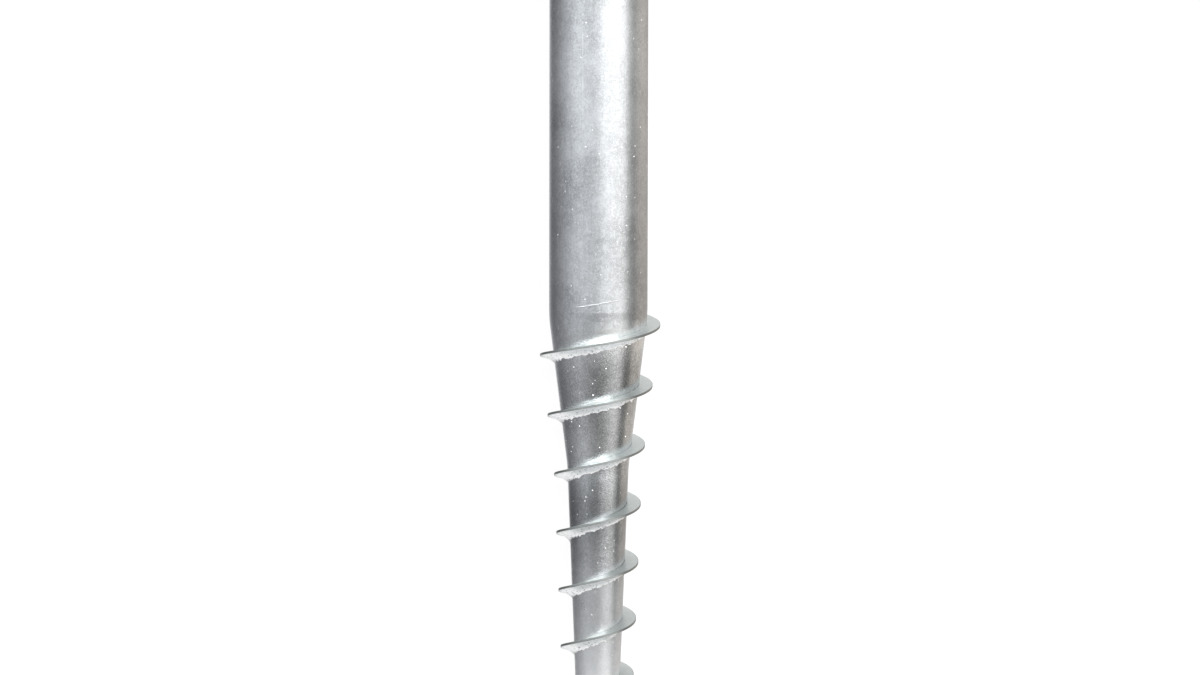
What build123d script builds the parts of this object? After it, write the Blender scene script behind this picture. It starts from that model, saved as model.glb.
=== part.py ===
"""Foundation ground screw, Ø76.1 x 1300 mm, lying on its side.

The screw's axis is the X axis. The open head is at +X, the point at -X, and +Z is up.
The origin is on that axis, at the centre of the cross hole near the head.
The screw lies as it comes to rest on a level floor: on the rim of its head, on the
underside of the first full turn of the blade, and against the cut end of the blade,
which stops it from rolling.

Three pieces, as the real screw is made:
  shaft_tube   one pipe, swaged to a steep cone and a slender cone, closed at the point
  helix_blade  one continuous strip of wedge section, wound on edge round both cones
  weld_bead    one fillet weld along the point side of the strip
"""
import math
import os

from build123d import *

# ---------------------------------------------------------------- driving sizes (mm)
TUBE_R = 38.05            # Ø76.1 pipe
WALL = 3.0
HEAD_X = 50.0             # cut end of the pipe
CONE_TOP_X = -640.0       # swaging starts
CONE_LENGTH = 115.0       # the steep cone
CONE_END_X = CONE_TOP_X - CONE_LENGTH
CONE_END_R = 23.75
TIP_X = -1250.0
TIP_R = 1.6
POINT_LENGTH = 55.0       # the forged point
SLENDER_END_X = TIP_X + POINT_LENGTH
SLENDER_END_R = 6.75
BEND_R = 110.0            # the soft bends at both ends of the steep cone
POINT_BEND_R = 40.0       # the soft bend above the point
TIP_EDGE = 1.2            # rounding of the blunt tip
EDGE = 0.5                # deburred edge of the cut end
SHUT_X = TIP_X + 110.0    # the bore is forged shut from here to the point
SHUT_R = 4.6
SHUT_LENGTH = 9.0

CROSS_HOLE_X = 0.0        # 50 mm in from the head
CROSS_HOLE_R = 9.0

PITCH_TOP = 47.0          # pitch at the first turn, mm for each turn
PITCH_FALL = PITCH_TOP * 0.0066   # half of what the pitch loses in each turn
TURN_LEVEL = -5.0         # turns; the pitch is constant past this one
BLADE_START_X = CONE_TOP_X + 3.0
BLADE_END_X = SLENDER_END_X + 11.5
TURN_START = 0.6744       # turns; the blade's cut end, next to the straight tube
BLADE_X0 = BLADE_START_X - PITCH_TOP * TURN_START - PITCH_FALL * TURN_START ** 2
PITCH_LEVEL = PITCH_TOP + 2 * PITCH_FALL * TURN_LEVEL
LEVEL_X = BLADE_X0 + (PITCH_TOP + PITCH_FALL * TURN_LEVEL) * TURN_LEVEL
TURN_END = TURN_LEVEL + (BLADE_END_X - LEVEL_X) / PITCH_LEVEL
OVERHANG = 10.6           # blade width outside the shaft
OVERHANG_TIP = 5.0        # at the point end of the strip
FADE_TURNS = 1.6          # turns over which it narrows to that
ROOT_T = 3.4              # the strip's thickness at the shaft
RIM_T = 1.7               # and at the rim
BEAD_AXIAL = 4.2          # fillet leg along the shaft
BEAD_RADIAL = 3.6         # fillet leg up the blade
BEAD_BELLY = 0.35         # how far its face bulges
SEAT = 0.05               # the strip's foot clears the shaft by this
SEAM = 0.005              # and the weld clears the strip
KNOTS_A_TURN = 24


def shaft_r(x):
    """Outer radius of the shaft at x, with its soft bends."""
    steep = (TUBE_R - CONE_END_R) / (CONE_TOP_X - CONE_END_X)
    slim = (CONE_END_R - SLENDER_END_R) / (CONE_END_X - SLENDER_END_X)
    for bend_x, bend_r, head_side, tip_side in ((CONE_TOP_X, TUBE_R, 0.0, steep),
                                                (CONE_END_X, CONE_END_R, steep, slim)):
        a, b = math.atan(head_side), math.atan(tip_side)
        reach = BEND_R * math.tan(abs(a - b) / 2)
        high, low = bend_x + reach * math.cos(a), bend_x - reach * math.cos(b)
        if low < x < high:
            side = 1 if a > b else -1      # 1 where the bend is hollow
            mid_x = high - side * BEND_R * math.sin(a)
            mid_r = bend_r + reach * math.sin(a) + side * BEND_R * math.cos(a)
            return mid_r - side * math.sqrt(BEND_R ** 2 - (x - mid_x) ** 2)
    if x >= CONE_TOP_X:
        return TUBE_R
    if x >= CONE_END_X:
        return TUBE_R + steep * (x - CONE_TOP_X)
    return CONE_END_R + slim * (x - CONE_END_X)


def blade_x(turn):
    """x of the blade's mid-line at a turn (0 is on the +Y side, negative to the point)."""
    level = max(turn, TURN_LEVEL)
    x = BLADE_X0 + PITCH_TOP * level + PITCH_FALL * level * level
    return x + PITCH_LEVEL * min(turn - TURN_LEVEL, 0.0)


def over(turn):
    """Width of the strip outside the shaft; it is ground down towards the point."""
    k = min(1.0, (turn - TURN_END) / FADE_TURNS)
    return OVERHANG_TIP + (OVERHANG - OVERHANG_TIP) * k


def on_helix(turn, dx, radius):
    """Point dx along the axis from the blade's mid-line and radius from the axis."""
    angle = 2 * math.pi * turn
    return (blade_x(turn) + dx, radius * math.cos(angle), radius * math.sin(angle))


def ribbon(first, last, corners):
    """Closed solid swept round the cones; corners(turn) gives its section as (dx, radius)."""
    count = int(round((first - last) * KNOTS_A_TURN))
    turns = [first + (last - first) * i / count for i in range(count + 1)]
    knots = [i / count for i in range(count + 1)]
    sections = [corners(turn) for turn in turns]
    rails = [Edge.make_spline([Vector(*on_helix(t, *s[corner]))
                               for t, s in zip(turns, sections)], parameters=knots)
             for corner in range(len(sections[0]))]
    sides = [Face.make_surface_from_curves(a, b)
             for a, b in zip(rails, rails[1:] + rails[:1])]
    ends = [Face(Wire.make_polygon([e @ at for e in rails], close=True)) for at in (0, 1)]
    return Solid(Shell(sides + ends))


# ---------------------------------------------------------------- the pipe
with BuildPart() as shaft_tube:
    with BuildSketch(Plane.XY) as half_section:
        with BuildLine():
            Polyline((TIP_X, 0), (TIP_X, TIP_R), (SLENDER_END_X, SLENDER_END_R),
                     (CONE_END_X, CONE_END_R), (CONE_TOP_X, TUBE_R), (HEAD_X, TUBE_R),
                     (HEAD_X, TUBE_R - WALL), (CONE_TOP_X, TUBE_R - WALL),
                     (CONE_END_X, CONE_END_R - WALL), (SHUT_X, SHUT_R),
                     (SHUT_X - SHUT_LENGTH, 0), close=True)
        make_face()
        outline = half_section.vertices()
        steep_ends = outline.filter_by(
            lambda v: v.Y > CONE_END_R / 2 and v.X < (CONE_TOP_X + HEAD_X) / 2)
        fillet(steep_ends, radius=BEND_R)
        point_root = half_section.vertices().sort_by_distance((SLENDER_END_X, SLENDER_END_R))
        fillet(point_root[0], radius=POINT_BEND_R)
        tip = half_section.vertices().sort_by_distance((TIP_X, TIP_R))
        fillet(tip[0], radius=TIP_EDGE)
        chamfer(half_section.vertices().group_by(Axis.X)[-1], EDGE)
    revolve(axis=Axis.X)
    with Locations(Plane((CROSS_HOLE_X, 0, 0), x_dir=(1, 0, 0), z_dir=(0, 1, 0))):
        Cylinder(CROSS_HOLE_R, 2.2 * TUBE_R, mode=Mode.SUBTRACT)
shaft_tube.part.label = "shaft_tube"


# ---------------------------------------------------------------- the blade
def blade_section(turn):
    x = blade_x(turn)
    rim = shaft_r(x) + over(turn)
    return [(ROOT_T / 2, shaft_r(x + ROOT_T / 2) + SEAT), (RIM_T / 2, rim),
            (-RIM_T / 2, rim), (-ROOT_T / 2, shaft_r(x - ROOT_T / 2) + SEAT)]


with BuildPart() as helix_blade:
    add(ribbon(TURN_START, TURN_END, blade_section))
helix_blade.part.label = "helix_blade"


# ---------------------------------------------------------------- the weld
def bead_section(turn):
    x = blade_x(turn)
    _, _, rim, foot = blade_section(turn)
    full = min(1.0, 0.55 + 0.45 * (turn - TURN_END) / 0.8)
    share = BEAD_RADIAL * full / (rim[1] - foot[1])
    top = (foot[0] + share * (rim[0] - foot[0]), foot[1] + share * (rim[1] - foot[1]))
    toe_dx = -ROOT_T / 2 - BEAD_AXIAL * full
    toe = (toe_dx, shaft_r(x + toe_dx) + SEAT)
    bulge = BEAD_BELLY * full
    belly = ((top[0] + toe[0]) / 2 - bulge, (top[1] + toe[1]) / 2 + bulge)
    return [(dx - SEAM, r) for dx, r in (foot, top, belly, toe)]


with BuildPart() as weld_bead:
    add(ribbon(TURN_START, TURN_END, bead_section))
weld_bead.part.label = "weld_bead"

# ---------------------------------------------------------------- export
os.makedirs("parts", exist_ok=True)
for name, item in (("shaft_tube", shaft_tube), ("helix_blade", helix_blade),
                   ("weld_bead", weld_bead)):
    export_step(item.part, f"parts/{name}.step")
    print(name, "volume", round(item.part.volume, 1), "solids", len(item.part.solids()))
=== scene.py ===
"""Foundation ground screw: finishes, weld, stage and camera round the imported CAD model."""

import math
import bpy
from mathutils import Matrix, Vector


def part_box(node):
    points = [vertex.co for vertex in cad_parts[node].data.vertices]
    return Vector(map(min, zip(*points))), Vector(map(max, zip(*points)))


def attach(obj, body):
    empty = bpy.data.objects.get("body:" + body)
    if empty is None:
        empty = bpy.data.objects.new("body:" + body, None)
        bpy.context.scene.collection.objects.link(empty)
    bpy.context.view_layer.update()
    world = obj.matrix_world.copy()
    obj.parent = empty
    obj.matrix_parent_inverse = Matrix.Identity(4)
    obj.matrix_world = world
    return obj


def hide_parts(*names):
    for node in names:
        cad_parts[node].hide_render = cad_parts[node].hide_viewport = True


bl_info = {
    "name": "Ground Screw",
    "version": (1, 0, 0),
    "blender": (4, 5, 0),
    "location": "3D View > Sidebar > Ground Screw",
    "description": "Dresses a foundation ground screw in hot-dip zinc and sets its stage",
    "category": "Object",
}

from types import SimpleNamespace

import bpy
import bmesh
from mathutils import Matrix, Vector, noise

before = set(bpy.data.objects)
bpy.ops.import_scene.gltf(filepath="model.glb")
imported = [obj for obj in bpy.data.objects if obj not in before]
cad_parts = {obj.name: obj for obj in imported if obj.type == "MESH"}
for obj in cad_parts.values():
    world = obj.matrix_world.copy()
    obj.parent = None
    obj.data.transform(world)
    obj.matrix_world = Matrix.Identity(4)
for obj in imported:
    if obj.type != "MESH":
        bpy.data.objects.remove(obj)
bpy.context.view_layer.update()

# ------------------------------------------------------------------ sizes of the screw
# Metres throughout. The axis lies on X, with the head towards +X and the point towards -X.
HEAD_X = 0.050
CONE_TOP_X = -0.640
CONE_END_X = -0.755
SLENDER_END_X = -1.195
TUBE_R = 0.03805
CONE_END_R = 0.02375
SLENDER_END_R = 0.00675

# Turns of the blade are counted from the +Y side, and fall towards the point.
TURN_START = 0.6744
TURN_LEVEL = -5.0                       # the pitch is constant past this turn
PITCH_TOP = 0.047
PITCH_FALL = PITCH_TOP * 0.0066         # half of what the pitch loses in each turn
BLADE_START_X = CONE_TOP_X + 0.003
BLADE_END_X = SLENDER_END_X + 0.0115
BLADE_X0 = BLADE_START_X - PITCH_TOP * TURN_START - PITCH_FALL * TURN_START ** 2
PITCH_LEVEL = PITCH_TOP + 2 * PITCH_FALL * TURN_LEVEL
LEVEL_X = BLADE_X0 + (PITCH_TOP + PITCH_FALL * TURN_LEVEL) * TURN_LEVEL
TURN_END = TURN_LEVEL + (BLADE_END_X - LEVEL_X) / PITCH_LEVEL
BLADE_H = 0.0106
BLADE_END_H = 0.005
FADE_TURNS = 1.6                        # the blade gets lower over its last turns
ROOT_T = 0.0034
RIM_T = 0.0017


def shaft_r(x):
    """Radius of the shaft at a place on its axis."""
    if x >= CONE_TOP_X:
        return TUBE_R
    if x >= CONE_END_X:
        share = (CONE_TOP_X - x) / (CONE_TOP_X - CONE_END_X)
        return TUBE_R + (CONE_END_R - TUBE_R) * share
    share = (CONE_END_X - x) / (CONE_END_X - SLENDER_END_X)
    return CONE_END_R + (SLENDER_END_R - CONE_END_R) * share


def blade_x(turn):
    """Place of the blade's middle on the axis at a turn."""
    level = max(turn, TURN_LEVEL)
    x = BLADE_X0 + PITCH_TOP * level + PITCH_FALL * level * level
    return x + PITCH_LEVEL * min(turn - TURN_LEVEL, 0.0)


def blade_h(turn):
    """Height of the blade over the shaft at a turn."""
    return BLADE_END_H + (BLADE_H - BLADE_END_H) * min(1.0, (turn - TURN_END) / FADE_TURNS)


# ------------------------------------------------------------------ node helpers
class Tree:
    """Short calls for building one node tree."""

    def __init__(self, tree):
        self.tree = tree
        self.column = 0

    def add(self, kind, **values):
        node = self.tree.nodes.new(kind)
        self.column += 1
        node.location = (-1800 + 180 * (self.column % 12), -260 * (self.column // 12))
        for key, value in values.items():
            setattr(node, key, value)
        return node

    def link(self, out, into):
        self.tree.links.new(out, into)

    def put(self, socket, value):
        if hasattr(value, "node"):
            self.link(value, socket)
        else:
            socket.default_value = value

    def math(self, operation, a, b=0.0):
        node = self.add("ShaderNodeMath", operation=operation)
        self.put(node.inputs[0], a)
        self.put(node.inputs[1], b)
        return node.outputs[0]

    def times(self, value, *others):
        for other in others:
            value = self.math("MULTIPLY", value, other)
        return value

    def plus(self, value, *others):
        for other in others:
            value = self.math("ADD", value, other)
        return value

    def minus(self, a, b):
        return self.math("SUBTRACT", a, b)

    def absolute(self, a):
        return self.math("ABSOLUTE", a)

    def ramp(self, value, low, high, to_low=0.0, to_high=1.0, smooth=True):
        node = self.add("ShaderNodeMapRange")
        node.interpolation_type = "SMOOTHSTEP" if smooth else "LINEAR"
        self.put(node.inputs["Value"], value)
        for name, number in (("From Min", low), ("From Max", high),
                             ("To Min", to_low), ("To Max", to_high)):
            self.put(node.inputs[name], number)
        return node.outputs[0]

    def place(self, scale=(1, 1, 1)):
        """Where on the screw, with each axis stretched by its scale."""
        coords = self.add("ShaderNodeTexCoord")
        mapping = self.add("ShaderNodeMapping")
        self.link(coords.outputs["Object"], mapping.inputs["Vector"])
        mapping.inputs["Scale"].default_value = scale
        return mapping.outputs[0]

    def axes(self):
        parts = self.add("ShaderNodeSeparateXYZ")
        self.link(self.place(), parts.inputs[0])
        return parts.outputs

    def noise(self, vector, scale, detail=3.0, rough=0.5):
        node = self.add("ShaderNodeTexNoise")
        self.put(node.inputs["Vector"], vector)
        node.inputs["Scale"].default_value = scale
        node.inputs["Detail"].default_value = detail
        node.inputs["Roughness"].default_value = rough
        return node.outputs[0]

    def mix(self, factor, a, b, how="MIX"):
        node = self.add("ShaderNodeMix", data_type="RGBA", blend_type=how)
        self.put(node.inputs["Factor"], factor)
        for socket, value in ((node.inputs[6], a), (node.inputs[7], b)):
            if isinstance(value, tuple) and len(value) == 3:
                value = (*value, 1.0)
            self.put(socket, value)
        return node.outputs[2]


def new_material(name):
    material = bpy.data.materials.new(name)
    material.use_nodes = True
    return material, Tree(material.node_tree), material.node_tree.nodes["Principled BSDF"]


def give(piece, material):
    piece.data.materials.clear()
    piece.data.materials.append(material)


def only(piece):
    bpy.ops.object.select_all(action="DESELECT")
    piece.select_set(True)
    bpy.context.view_layer.objects.active = piece


# ------------------------------------------------------------------ hot-dip zinc
# Here and below, a pair of limits runs from where a thing is absent to where it is in full.
# features in a metre
CLOUD_SCALE = 24.0
SPANGLE_SCALE = 160.0
SPECK_SCALE = 190.0
FLECK_SCALE = 520.0
RUN_SCALE = 820.0
GRAIN_SCALE = 1100.0
# how far each one changes the colour
SPANGLE_SHARE = 0.40
FLECK_SHARE = 0.55
GRAIN_SHARE = 0.60
# how far each one stands out
SPANGLE_RISE = 0.40
GRAIN_RISE = 0.65
CLOUD_RISE = 0.6
SPECK_RISE = 1.2
DENT_DEPTH = 0.0004
RUN_STRETCH = 0.02                      # along the axis, so that runs are long streaks
SPECK_COLOUR = (0.95, 0.95, 0.95)
SPECK_DULL = 0.60
SPECK_CHOSEN = (0.18, 0.19)             # a cell with a lower number of its own has none
SPECK_LEAST = 0.02                      # radius, as a share of a cell
SPECK_SPREAD = 0.075
SPECK_EDGE = (0.03, 0.0)


def shade(colour, share):
    return tuple(min(1.0, part * share) for part in colour)


def run_place(t):
    """Place round the axis at one radius, so that runs follow the cones as well."""
    round_axis = t.add("ShaderNodeVectorMath", operation="NORMALIZE")
    t.link(t.place(scale=(0, 1, 1)), round_axis.inputs[0])
    along = t.add("ShaderNodeVectorMath", operation="MULTIPLY_ADD")
    t.link(round_axis.outputs[0], along.inputs[0])
    along.inputs[1].default_value = (TUBE_R, TUBE_R, TUBE_R)
    t.link(t.place(scale=(RUN_STRETCH, 0, 0)), along.inputs[2])
    return along.outputs[0]


def zinc_specks(t, place):
    """Small beads of zinc scattered over most cells of the surface, each of its own size."""
    spots = t.add("ShaderNodeTexVoronoi", feature="F1")
    t.link(place, spots.inputs["Vector"])
    spots.inputs["Scale"].default_value = SPECK_SCALE
    own = t.add("ShaderNodeSeparateColor")
    t.link(spots.outputs["Color"], own.inputs[0])
    chosen = t.ramp(own.outputs[0], *SPECK_CHOSEN)
    radius = t.plus(SPECK_LEAST, t.times(own.outputs[1], SPECK_SPREAD))
    return t.times(chosen, t.ramp(t.minus(spots.outputs["Distance"], radius), *SPECK_EDGE))


def zinc_coat(t, colour, dark, light, rough, runs_share=0.45, specks=1.0):
    """Tone, roughness, metal and relief of one coat, with its dark and light as shares."""
    colour = tuple(colour)
    dark_zinc = shade(colour, dark)
    light_zinc = shade(colour, light)
    place = t.place()
    clouds = t.noise(place, CLOUD_SCALE, 2.0, 0.5)
    spangle = t.noise(place, SPANGLE_SCALE, 3.0, 0.6)
    runs = t.noise(run_place(t), RUN_SCALE, 3.0, 0.65)
    grain = t.noise(place, GRAIN_SCALE, 2.0, 0.7)
    flecks = t.noise(place, FLECK_SCALE, 2.0, 0.75)
    tone = t.mix(t.ramp(clouds, 0.30, 0.72), dark_zinc, colour)
    layers = (
        (spangle, 0.35, 0.75, SPANGLE_SHARE, light_zinc),
        (runs, 0.48, 0.75, runs_share, dark_zinc),
        (grain, 0.40, 0.75, GRAIN_SHARE, light_zinc),
        (flecks, 0.52, 0.74, FLECK_SHARE, dark_zinc),
        (flecks, 0.48, 0.28, FLECK_SHARE, light_zinc),
    )
    for pattern, low, high, share, towards in layers:
        tone = t.mix(t.times(t.ramp(pattern, low, high), share), tone, towards)
    dots = t.times(zinc_specks(t, place), specks)
    return SimpleNamespace(
        tone=t.mix(dots, tone, SPECK_COLOUR),
        rough=t.ramp(clouds, 0.3, 0.7, rough - 0.015, rough + 0.02),
        metal=t.minus(1.0, t.times(dots, SPECK_DULL)),
        relief=t.plus(t.times(spangle, SPANGLE_RISE), t.times(grain, GRAIN_RISE),
                      t.times(clouds, CLOUD_RISE), t.times(dots, SPECK_RISE)))


def lay_coat(t, shader, coat, strength):
    """Join a finished coat to its shader."""
    dents = t.add("ShaderNodeBump")
    dents.inputs["Strength"].default_value = strength
    dents.inputs["Distance"].default_value = DENT_DEPTH
    t.link(coat.relief, dents.inputs["Height"])
    t.link(coat.tone, shader.inputs["Base Color"])
    t.link(coat.rough, shader.inputs["Roughness"])
    t.link(coat.metal, shader.inputs["Metallic"])
    t.link(dents.outputs[0], shader.inputs["Normal"])


# ------------------------------------------------------------------ settings
class ScrewFinish(bpy.types.PropertyGroup):
    """Colours, roughness and weld sizes that a user would change"""

    tube_colour: bpy.props.FloatVectorProperty(
        name="Tube zinc", description="Colour of the zinc on the pipe",
        subtype="COLOR", size=3, min=0, max=1, default=(0.66, 0.68, 0.70))
    blade_colour: bpy.props.FloatVectorProperty(
        name="Blade zinc", description="Colour of the zinc on the blade",
        subtype="COLOR", size=3, min=0, max=1, default=(0.66, 0.70, 0.68))
    weld_colour: bpy.props.FloatVectorProperty(
        name="Weld zinc", description="Colour of the zinc on the weld",
        subtype="COLOR", size=3, min=0, max=1, default=(0.97, 0.98, 0.99))
    tube_rough: bpy.props.FloatProperty(
        name="Tube roughness", description="How dull the pipe's zinc is",
        subtype="FACTOR", min=0, max=1, default=0.30)
    bead_ripple: bpy.props.FloatProperty(
        name="Weld ripple", description="How far the weld's ripples stand out",
        subtype="DISTANCE", unit="LENGTH", min=0, max=0.003, default=0.0011)
    bead_leg: bpy.props.FloatProperty(
        name="Weld leg", description="How far the weld runs down the shaft",
        subtype="DISTANCE", unit="LENGTH", min=0.001, max=0.008, default=0.0047)
    bead_climb: bpy.props.FloatProperty(
        name="Weld climb", description="How far the weld climbs the blade",
        subtype="DISTANCE", unit="LENGTH", min=0.001, max=0.010, default=0.0088)
    floor_colour: bpy.props.FloatVectorProperty(
        name="Floor", description="Colour of the floor",
        subtype="COLOR", size=3, min=0, max=1, default=(0.95, 0.95, 0.95))


# ------------------------------------------------------------------ pipe
SEAM_ANGLE = 0.330                      # from straight up towards +Y, in radians
SEAM_EDGE = (0.016, 0.004)              # radians to each side
SEAM_REACH = (CONE_TOP_X + 0.10, CONE_TOP_X + 0.20)
SEAM_BREAKS = (0.35, 0.60)
SEAM_SHARE = 0.70
SCRATCH_X = CONE_TOP_X + 0.0137
SCRATCH_SLOPE = 0.174
SCRATCH_WANDER = 0.0012
SCRATCH_EDGE = (0.0005, 0.0001)
SCRATCH_ENDS = (0.0185, 0.0165)
SCRATCH_BREAKS = (0.30, 0.55)
SCRATCH_SHARE = 0.40
MARK_COLOUR = (0.93, 0.94, 0.95)
# painted shade and light along the pipe: from where to where the zinc's colour is darkened or
# brightened, and its share from there on
TUBE_PAINTED_SHADES = (
    (CONE_TOP_X + 0.220, CONE_TOP_X + 0.040, 0.84),
    (CONE_TOP_X + 0.015, CONE_TOP_X - 0.015, 1.19),
    (CONE_END_X + 0.010, CONE_END_X - 0.035, 0.60),
)
# painted highlight: a brighter band on the -Y side at the top of the steep cone
PAINTED_HIGHLIGHT_GAIN = 0.55
PAINTED_HIGHLIGHT_TOP = (CONE_TOP_X + 0.004, CONE_TOP_X - 0.008)
PAINTED_HIGHLIGHT_FOOT = (CONE_TOP_X - 0.042, CONE_TOP_X - 0.016)
PAINTED_HIGHLIGHT_SIDE = (0.012, -0.006)           # along Y
POLISH = 0.07                           # how much less rough the cones are
POLISH_REACH = (CONE_TOP_X - 0.005, CONE_TOP_X - 0.050)
FROST_REACH = (CONE_END_X - 0.035, CONE_END_X - 0.225)
FROST_FADE = (SLENDER_END_X + 0.195, SLENDER_END_X + 0.095)
FROST_COLOUR = (0.66, 0.67, 0.68)
FROST_SHARE = 0.70
FROST_TIP_SHARE = 0.35                  # of that, near the tip
FROST_ROUGH = 0.20
FROST_DULL = 0.65


def seam_line(t, x, y, z):
    """The pipe's own seam, a faint line along its straight part."""
    aside = t.absolute(t.minus(t.math("ARCTAN2", y, z), SEAM_ANGLE))
    return t.times(t.ramp(aside, *SEAM_EDGE), t.ramp(x, *SEAM_REACH))


def scratch_line(t, x, y, z):
    """A scratch across the end of the straight part, on the upper side."""
    run = t.plus(t.times(y, SCRATCH_SLOPE), t.minus(x, SCRATCH_X))
    wander = t.times(t.minus(t.noise(t.place(), 120.0), 0.5), SCRATCH_WANDER)
    return t.times(t.ramp(t.absolute(t.plus(run, wander)), *SCRATCH_EDGE),
                   t.ramp(t.absolute(y), *SCRATCH_ENDS),
                   t.math("GREATER_THAN", z, 0.0))


def tube_painted_light(t, x, y):
    """Painted shade and light along the pipe: darker towards the bend, brighter on the steep
    cone, darker again on the slender one, and a painted highlight on the -Y side at the top of
    the steep cone.
    """
    painted_shade = t.times(*(t.ramp(x, start, end, 1.0, share) for start, end, share in TUBE_PAINTED_SHADES))
    # painted highlight on the -Y side at the top of the steep cone
    painted_highlight = t.times(t.ramp(x, *PAINTED_HIGHLIGHT_TOP), t.ramp(x, *PAINTED_HIGHLIGHT_FOOT), t.ramp(y, *PAINTED_HIGHLIGHT_SIDE))
    return t.times(painted_shade, t.plus(1.0, t.times(painted_highlight, PAINTED_HIGHLIGHT_GAIN)))


def tube_frost(t, x):
    """A frosty stretch down the slender cone, which fades towards the tip."""
    return t.times(t.ramp(x, *FROST_REACH, 0.0, FROST_SHARE, smooth=False),
                   t.ramp(x, *FROST_FADE, 1.0, FROST_TIP_SHARE))


class SCREW_OT_tube(bpy.types.Operator):
    """Give the pipe its hot-dip zinc finish"""
    bl_idname = "screw.tube"
    bl_label = "Zinc the Pipe"

    def execute(self, context):
        settings = context.scene.screw_finish
        material, t, shader = new_material("tube_zinc")
        coat = zinc_coat(t, settings.tube_colour, dark=0.70, light=1.36,
                         rough=settings.tube_rough)
        x, y, z = t.axes()
        broken = t.noise(t.place(scale=(0.25, 1, 1)), 220.0, 2.0, 0.6)
        seam = t.times(seam_line(t, x, y, z), t.ramp(broken, *SEAM_BREAKS), SEAM_SHARE)
        scratch = t.times(scratch_line(t, x, y, z), t.ramp(broken, *SCRATCH_BREAKS),
                          SCRATCH_SHARE)
        marks = t.math("MAXIMUM", seam, scratch)
        frost = tube_frost(t, x)
        tone = t.mix(marks, coat.tone, MARK_COLOUR)
        # painted shade and light along the pipe, multiplied into the zinc's colour
        tone = t.mix(1.0, tone, tube_painted_light(t, x, y), "MULTIPLY")
        coat.tone = t.mix(frost, tone, FROST_COLOUR)
        polish = t.ramp(x, *POLISH_REACH, 0.0, POLISH)
        coat.rough = t.plus(t.minus(coat.rough, polish), t.times(frost, FROST_ROUGH))
        coat.metal = t.times(coat.metal, t.minus(1.0, t.times(frost, FROST_DULL)))
        coat.relief = t.plus(coat.relief, marks)
        lay_coat(t, shader, coat, strength=0.35)
        give(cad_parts["shaft_tube"], material)
        return {"FINISHED"}


# ------------------------------------------------------------------ blade
# painted shade along the blade's outer rim
RIM_SHADE_BAND = (0.0008, 0.0002)            # in from the rim
RIM_SHADE_COLOUR = (0.16, 0.17, 0.17)
RIM_SHADE_SHARE = 0.62


def blade_rim_shade(t):
    """Painted shade along the blade's outer rim: a dark band where the rim face lies in shadow,
    partly also the thinner zinc at the edge.
    """
    x, y, z = t.axes()
    radius = t.math("SQRT", t.plus(t.times(y, y), t.times(z, z)))
    steep = t.ramp(x, CONE_TOP_X, CONE_END_X, TUBE_R + BLADE_H, CONE_END_R + BLADE_H,
                   smooth=False)
    slender = t.ramp(x, CONE_END_X, SLENDER_END_X, 0.0, CONE_END_R - SLENDER_END_R,
                     smooth=False)
    inside = t.minus(t.minus(steep, slender), radius)
    return t.ramp(inside, *RIM_SHADE_BAND)


class SCREW_OT_blade(bpy.types.Operator):
    """Give the blade its zinc finish"""
    bl_idname = "screw.blade"
    bl_label = "Zinc the Blade"

    def execute(self, context):
        settings = context.scene.screw_finish
        material, t, shader = new_material("blade_zinc")
        coat = zinc_coat(t, settings.blade_colour, dark=0.88, light=1.12, rough=0.38,
                         runs_share=0.1, specks=0.5)
        # painted shade: the dark band along the blade's outer rim
        coat.tone = t.mix(t.times(blade_rim_shade(t), RIM_SHADE_SHARE), coat.tone, RIM_SHADE_COLOUR)
        lay_coat(t, shader, coat, strength=0.35)
        give(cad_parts["helix_blade"], material)
        return {"FINISHED"}


# ------------------------------------------------------------------ weld
LUMPS_ALONG = 100                       # how fast the weld's lumps change with x
LUMPS_ROUND = 3.5                       # and round the axis
WELD_STEPS = 9                          # faces across the weld's hollow front
WELD_SINK = 0.0006                      # how deep the weld reaches into the shaft
WELD_INSET = 0.002                      # turns between the ends of the weld and the blade
WELD_FADE = 0.8                         # turns over which the weld shrinks at the point end
WELD_END_SHARE = 0.55
WELD_TOP_SHARE = 0.93                   # the most of the blade's height that it may cover
WELD_HOLLOW_UP = 1.55                   # powers over 1 hollow the front towards the blade
WELD_HOLLOW_DOWN = 1.30                 # and towards the shaft
DRIP_START = 0.25
RING_STEP = 0.0011
RING_STEP_H = 0.004                     # height over the shaft where that step is measured
PIT_SCALE = 520.0
PIT_EDGE = (0.58, 0.66)
PIT_SHARE = 0.7
PIT_COLOUR = (0.24, 0.25, 0.25)


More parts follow.
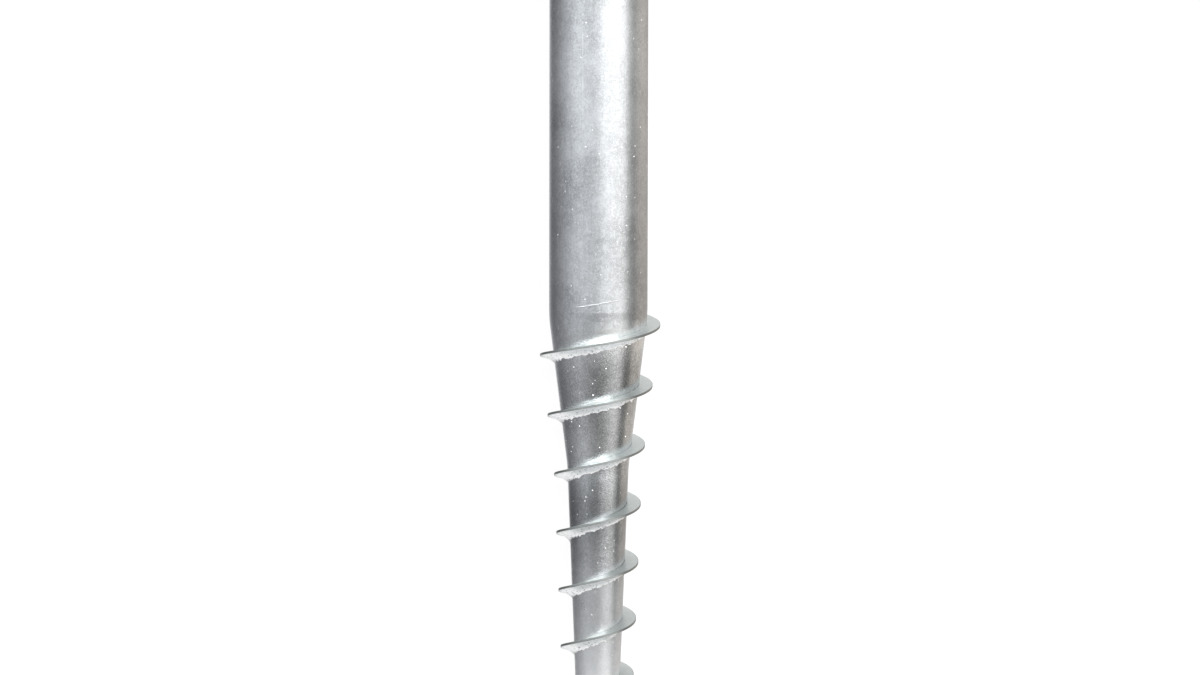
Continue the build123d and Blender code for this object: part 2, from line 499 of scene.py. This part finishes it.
def weld_profile(turn, leg, climb, ripple):
    """Section of the weld at a turn: hollow, from high on the blade to its toe."""
    x = blade_x(turn)
    height = blade_h(turn)
    where = Vector((x * LUMPS_ALONG, math.cos(turn * math.tau) * LUMPS_ROUND,
                    math.sin(turn * math.tau) * LUMPS_ROUND))
    wide = noise.noise(where * 1.1)
    lumps = noise.noise(where * 3.1 + Vector((7, 0, 0)))
    fine = noise.noise(where * 6.2 + Vector((3, 1, 5)))
    drips = max(0.0, noise.noise(where * 2.3 + Vector((0, 9, 0))) - DRIP_START)
    full = min(1.0, WELD_END_SHARE + (1 - WELD_END_SHARE) * (turn - TURN_END) / WELD_FADE)
    toe = (leg + ripple * (0.7 * wide + 1.1 * lumps + 0.9 * fine + 2.2 * drips)) * full
    top = min(height * WELD_TOP_SHARE, climb * height / BLADE_H * (1 + 0.10 * wide)) * full

    def blade_face(up):
        return -(ROOT_T - (ROOT_T - RIM_T) * up / height) / 2

    points = []
    for step in range(WELD_STEPS + 1):
        share = step / WELD_STEPS
        up = top * (1 - share) ** WELD_HOLLOW_UP
        drop = toe * share ** WELD_HOLLOW_DOWN
        swell = noise.noise(where * 4.3 + Vector((0, 0, step * 0.9))) * ripple * 0.30
        swell *= math.sin(math.pi * min(1.0, share * 1.15))
        points.append((blade_face(up) - drop - 0.7 * swell, up + 0.7 * swell))
    points.append((blade_face(0) - toe * 0.9, -WELD_SINK))
    points.append((0.0, -WELD_SINK))
    points.append((0.0, top * 0.8))
    return [(x + along, shaft_r(x + along) + up) for along, up in points]


def weld_mesh(settings):
    """The weld as rings of its section, run down the blade and closed at both ends."""
    mesh = bpy.data.meshes.new("weld_run")
    bm = bmesh.new()
    rings = []
    turn = TURN_START - WELD_INSET
    while turn > TURN_END + WELD_INSET:
        ring = []
        for x, radius in weld_profile(turn, settings.bead_leg, settings.bead_climb,
                                      settings.bead_ripple):
            ring.append(bm.verts.new((x, radius * math.cos(math.tau * turn),
                                      radius * math.sin(math.tau * turn))))
        rings.append(ring)
        turn -= RING_STEP / (math.tau * (shaft_r(blade_x(turn)) + RING_STEP_H))
    for first, second in zip(rings, rings[1:]):
        for i in range(len(first)):
            j = (i + 1) % len(first)
            bm.faces.new((first[i], first[j], second[j], second[i]))
    bm.faces.new(rings[0][::-1])
    bm.faces.new(rings[-1])
    bmesh.ops.recalc_face_normals(bm, faces=bm.faces)
    bm.to_mesh(mesh)
    bm.free()
    return mesh


class SCREW_OT_weld(bpy.types.Operator):
    """Run the rough fillet weld under the blade"""
    bl_idname = "screw.weld"
    bl_label = "Run the Weld"

    def execute(self, context):
        settings = context.scene.screw_finish
        bead = bpy.data.objects.new("weld_run", weld_mesh(settings))
        context.collection.objects.link(bead)
        only(bead)
        bpy.ops.object.shade_smooth_by_angle(angle=math.radians(50))
        material, t, shader = new_material("weld_zinc")
        coat = zinc_coat(t, settings.weld_colour, dark=0.93, light=1.12, rough=0.44, specks=0.3)
        pits = t.ramp(t.noise(t.place(), PIT_SCALE, 2.0, 0.6), *PIT_EDGE)
        coat.tone = t.mix(t.times(pits, PIT_SHARE), coat.tone, PIT_COLOUR)
        lay_coat(t, shader, coat, strength=0.6)
        give(bead, material)
        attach(bead, "root")
        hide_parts("weld_bead")
        return {"FINISHED"}


# ------------------------------------------------------------------ stage
# angle round the axis from straight up towards -Y, in degrees, and the colour there
SKY = (
    (-180, (0.74, 0.75, 0.75)),
    (-160, (0.74, 0.75, 0.76)),
    (-144, (0.17, 0.17, 0.18)),
    (-120, (0.20, 0.20, 0.21)),
    (-100, (0.38, 0.38, 0.39)),
    (-70, (0.58, 0.60, 0.63)),
    (-50, (0.68, 0.71, 0.75)),
    (-22, (0.49, 0.52, 0.55)),
    (1, (0.74, 0.75, 0.77)),
    (17, (2.20, 2.20, 2.20)),
    (60, (2.15, 2.13, 2.09)),
    (78, (0.42, 0.42, 0.41)),
    (94, (0.36, 0.36, 0.34)),
    (102, (0.62, 0.58, 0.54)),
    (140, (0.64, 0.59, 0.54)),
    (156, (0.45, 0.43, 0.40)),
    (180, (0.74, 0.75, 0.75)),
)
# the same, in directions that lean towards the point
LOW_SKY = (
    (-180, (0.95, 0.95, 0.95)),
    (-160, (0.60, 0.60, 0.61)),
    (-144, (0.19, 0.19, 0.20)),
    (-108, (0.215, 0.215, 0.225)),
    (-80, (0.355, 0.355, 0.365)),
    (-52, (0.50, 0.50, 0.51)),
    (-34, (0.39, 0.39, 0.39)),
    (-14, (0.22, 0.217, 0.21)),
    (4, (0.20, 0.196, 0.188)),
    (20, (0.28, 0.274, 0.262)),
    (48, (0.67, 0.65, 0.63)),
    (64, (0.62, 0.60, 0.57)),
    (76, (0.15, 0.15, 0.14)),
    (92, (0.13, 0.13, 0.12)),
    (102, (0.56, 0.51, 0.46)),
    (140, (0.58, 0.53, 0.48)),
    (180, (0.95, 0.95, 0.95)),
)
WORLD_STRENGTH = 2.0
# The walls at both ends. A reach is the X of a direction where one begins and where it is full.
LOW_SKY_REACH = (-0.03, -0.19)
POINT_END = (0.55, 0.55, 0.55)
POINT_END_REACH = (-0.45, -0.75)
HEAD_LOW = (0.50, 0.50, 0.50)
HEAD_HIGH = (0.50, 0.51, 0.51)
HEAD_REACH = (0.19, 0.34)
HEAD_RISE = (-0.1, 0.25)                # along Z
HEAD_END = (0.36, 0.36, 0.37)
HEAD_END_REACH = (0.50, 0.66)
PANEL = (4.4, 4.4, 4.4)
PANEL_REACH = (0.53, 0.42)
PANEL_SIDES = ((-0.55, -0.05), (0.95, 0.75))    # along Y

REST_X = CONE_TOP_X - 0.040             # where the first full turn rests on the floor
FLOOR_SIZE = 30.0
FLOOR_GAP = 0.0001
FLOOR_GLOW = 0.90

LAMP_PLACE = (-0.5, -1.6, 2.2)
LAMP_TARGET = (-0.5, 0, 0)
LAMP_LENGTH = 2.4
LAMP_WIDTH = 1.2
LAMP_POWER = 108

CAMERA_PLACE = (-0.3360, -0.00132, 3.8306)
CAMERA_TILT = 0.0831
CAMERA_ROLL = 0.0019
CAMERA_SENSOR = 36.0
CAMERA_LENS = 149.06
CAMERA_REACH = 100


def floor_material(colour):
    """Matt white that takes shadows, and glows white to the camera."""
    material = bpy.data.materials.new("floor_white")
    material.use_nodes = True
    t = Tree(material.node_tree)
    nodes = material.node_tree.nodes
    nodes.remove(nodes["Principled BSDF"])
    matt = t.add("ShaderNodeBsdfDiffuse")
    matt.inputs["Color"].default_value = (*colour, 1)
    glow = t.add("ShaderNodeEmission")
    glow.inputs["Strength"].default_value = 1.0
    rays = t.add("ShaderNodeLightPath")
    seen = t.math("MAXIMUM", rays.outputs["Is Camera Ray"],
                  t.math("MAXIMUM", rays.outputs["Is Glossy Ray"],
                         rays.outputs["Is Transmission Ray"]))
    mixer = t.add("ShaderNodeMixShader")
    t.link(t.times(seen, FLOOR_GLOW), mixer.inputs[0])
    t.link(matt.outputs[0], mixer.inputs[1])
    t.link(glow.outputs[0], mixer.inputs[2])
    t.link(mixer.outputs[0], nodes["Material Output"].inputs["Surface"])
    return material


def lay_floor(colour):
    """Lay the floor through the underside of the first full turn and the head's rim."""
    bpy.ops.object.select_all(action="DESELECT")
    bpy.ops.mesh.primitive_plane_add(size=FLOOR_SIZE)
    floor = bpy.context.active_object
    floor.name = "floor"
    tube_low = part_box("shaft_tube")[0][2]
    blade_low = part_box("helix_blade")[0][2]
    slope = (blade_low - tube_low) / (REST_X - HEAD_X)
    for corner in floor.data.vertices:
        corner.co.z = tube_low + slope * (corner.co.x - HEAD_X) - FLOOR_GAP
    give(floor, floor_material(colour))
    floor.visible_glossy = False


def wall_ramp(t, stop, sky):
    """Colours round the screw's axis, at half strength so that none goes far over 1."""
    walls = t.add("ShaderNodeValToRGB")
    t.link(stop, walls.inputs[0])
    elements = walls.color_ramp.elements
    for degrees, _ in sky[1:-1]:
        elements.new((degrees + 180) / 360)
    for element, (_, colour) in zip(elements, sky):
        element.color = (*(part / 2 for part in colour), 1)
    return walls.outputs[0]


def head_walls(t, x, y, z):
    """Grey walls towards the head, with a narrow bright panel on their upper half."""
    near, far = PANEL_SIDES
    panel = t.times(t.ramp(y, *near), t.ramp(y, *far), t.ramp(x, *PANEL_REACH))
    return t.mix(t.ramp(z, *HEAD_RISE), HEAD_LOW, t.mix(panel, HEAD_HIGH, PANEL))


def paint_surroundings(scene):
    """A bright wall over the -Y side, dimmer ones opposite, and grey at both ends."""
    world = bpy.data.worlds.new("studio")
    scene.world = world
    world.use_nodes = True
    t = Tree(world.node_tree)
    coords = t.add("ShaderNodeTexCoord")
    parts = t.add("ShaderNodeSeparateXYZ")
    t.link(coords.outputs["Generated"], parts.inputs[0])
    x, y, z = parts.outputs
    stop = t.ramp(t.math("ARCTAN2", t.times(y, -1.0), z), -math.pi, math.pi, smooth=False)
    around = t.mix(t.ramp(x, *LOW_SKY_REACH), wall_ramp(t, stop, SKY),
                   wall_ramp(t, stop, LOW_SKY))
    around = t.mix(t.ramp(x, *POINT_END_REACH), around, POINT_END)
    around = t.mix(t.ramp(x, *HEAD_REACH), around, head_walls(t, x, y, z))
    around = t.mix(t.ramp(x, *HEAD_END_REACH), around, HEAD_END)
    background = world.node_tree.nodes["Background"]
    t.link(around, background.inputs["Color"])
    background.inputs["Strength"].default_value = WORLD_STRENGTH


def hang_lamp():
    """Hang one soft lamp over the -Y side."""
    bpy.ops.object.light_add(type="AREA", location=LAMP_PLACE)
    lamp = bpy.context.active_object
    lamp.data.shape = "RECTANGLE"
    lamp.data.size = LAMP_LENGTH
    lamp.data.size_y = LAMP_WIDTH
    lamp.data.energy = LAMP_POWER
    lamp.visible_glossy = False
    aim = Vector(LAMP_TARGET) - lamp.location
    lamp.rotation_euler = aim.to_track_quat("-Z", "Y").to_euler()


def set_camera(scene):
    """Look down on the screw from over it, with its head towards the top of the view."""
    right = Vector((0, -1, 0))
    up = Vector((math.cos(CAMERA_TILT), 0, -math.sin(CAMERA_TILT)))
    back = Vector((math.sin(CAMERA_TILT), 0, math.cos(CAMERA_TILT)))
    turn = Matrix((right, up, back)).transposed().to_4x4()
    bpy.ops.object.camera_add()
    camera = bpy.context.active_object
    camera.matrix_world = (Matrix.Translation(CAMERA_PLACE) @ turn
                           @ Matrix.Rotation(CAMERA_ROLL, 4, "Z"))
    camera.data.sensor_width = CAMERA_SENSOR
    camera.data.lens = CAMERA_LENS
    camera.data.clip_end = CAMERA_REACH
    scene.camera = camera


class SCREW_OT_stage(bpy.types.Operator):
    """Lay the floor, paint the surroundings, hang the lamp and set the camera"""
    bl_idname = "screw.stage"
    bl_label = "Set the Stage"

    def execute(self, context):
        scene = context.scene
        scene.view_settings.view_transform = "Standard"
        lay_floor(scene.screw_finish.floor_colour)
        paint_surroundings(scene)
        hang_lamp()
        set_camera(scene)
        return {"FINISHED"}


# ------------------------------------------------------------------ panel and steps
STEPS = (SCREW_OT_tube, SCREW_OT_blade, SCREW_OT_weld, SCREW_OT_stage)


class SCREW_PT_panel(bpy.types.Panel):
    """Lists the settings and the steps that dress the screw"""
    bl_idname = "SCREW_PT_panel"
    bl_label = "Ground Screw"
    bl_space_type = "VIEW_3D"
    bl_region_type = "UI"
    bl_category = "Ground Screw"

    def draw(self, context):
        settings = context.scene.screw_finish
        for name in ScrewFinish.__annotations__:
            self.layout.prop(settings, name)
        for step in STEPS:
            self.layout.operator(step.bl_idname)


CLASSES = (ScrewFinish, *STEPS, SCREW_PT_panel)


def register():
    for cls in CLASSES:
        bpy.utils.register_class(cls)
    bpy.types.Scene.screw_finish = bpy.props.PointerProperty(type=ScrewFinish)


def unregister():
    del bpy.types.Scene.screw_finish
    for cls in reversed(CLASSES):
        bpy.utils.unregister_class(cls)


def main():
    register()
    bpy.ops.screw.tube()
    bpy.ops.screw.blade()
    bpy.ops.screw.weld()
    bpy.ops.screw.stage()


if __name__ == "__main__":
    main()
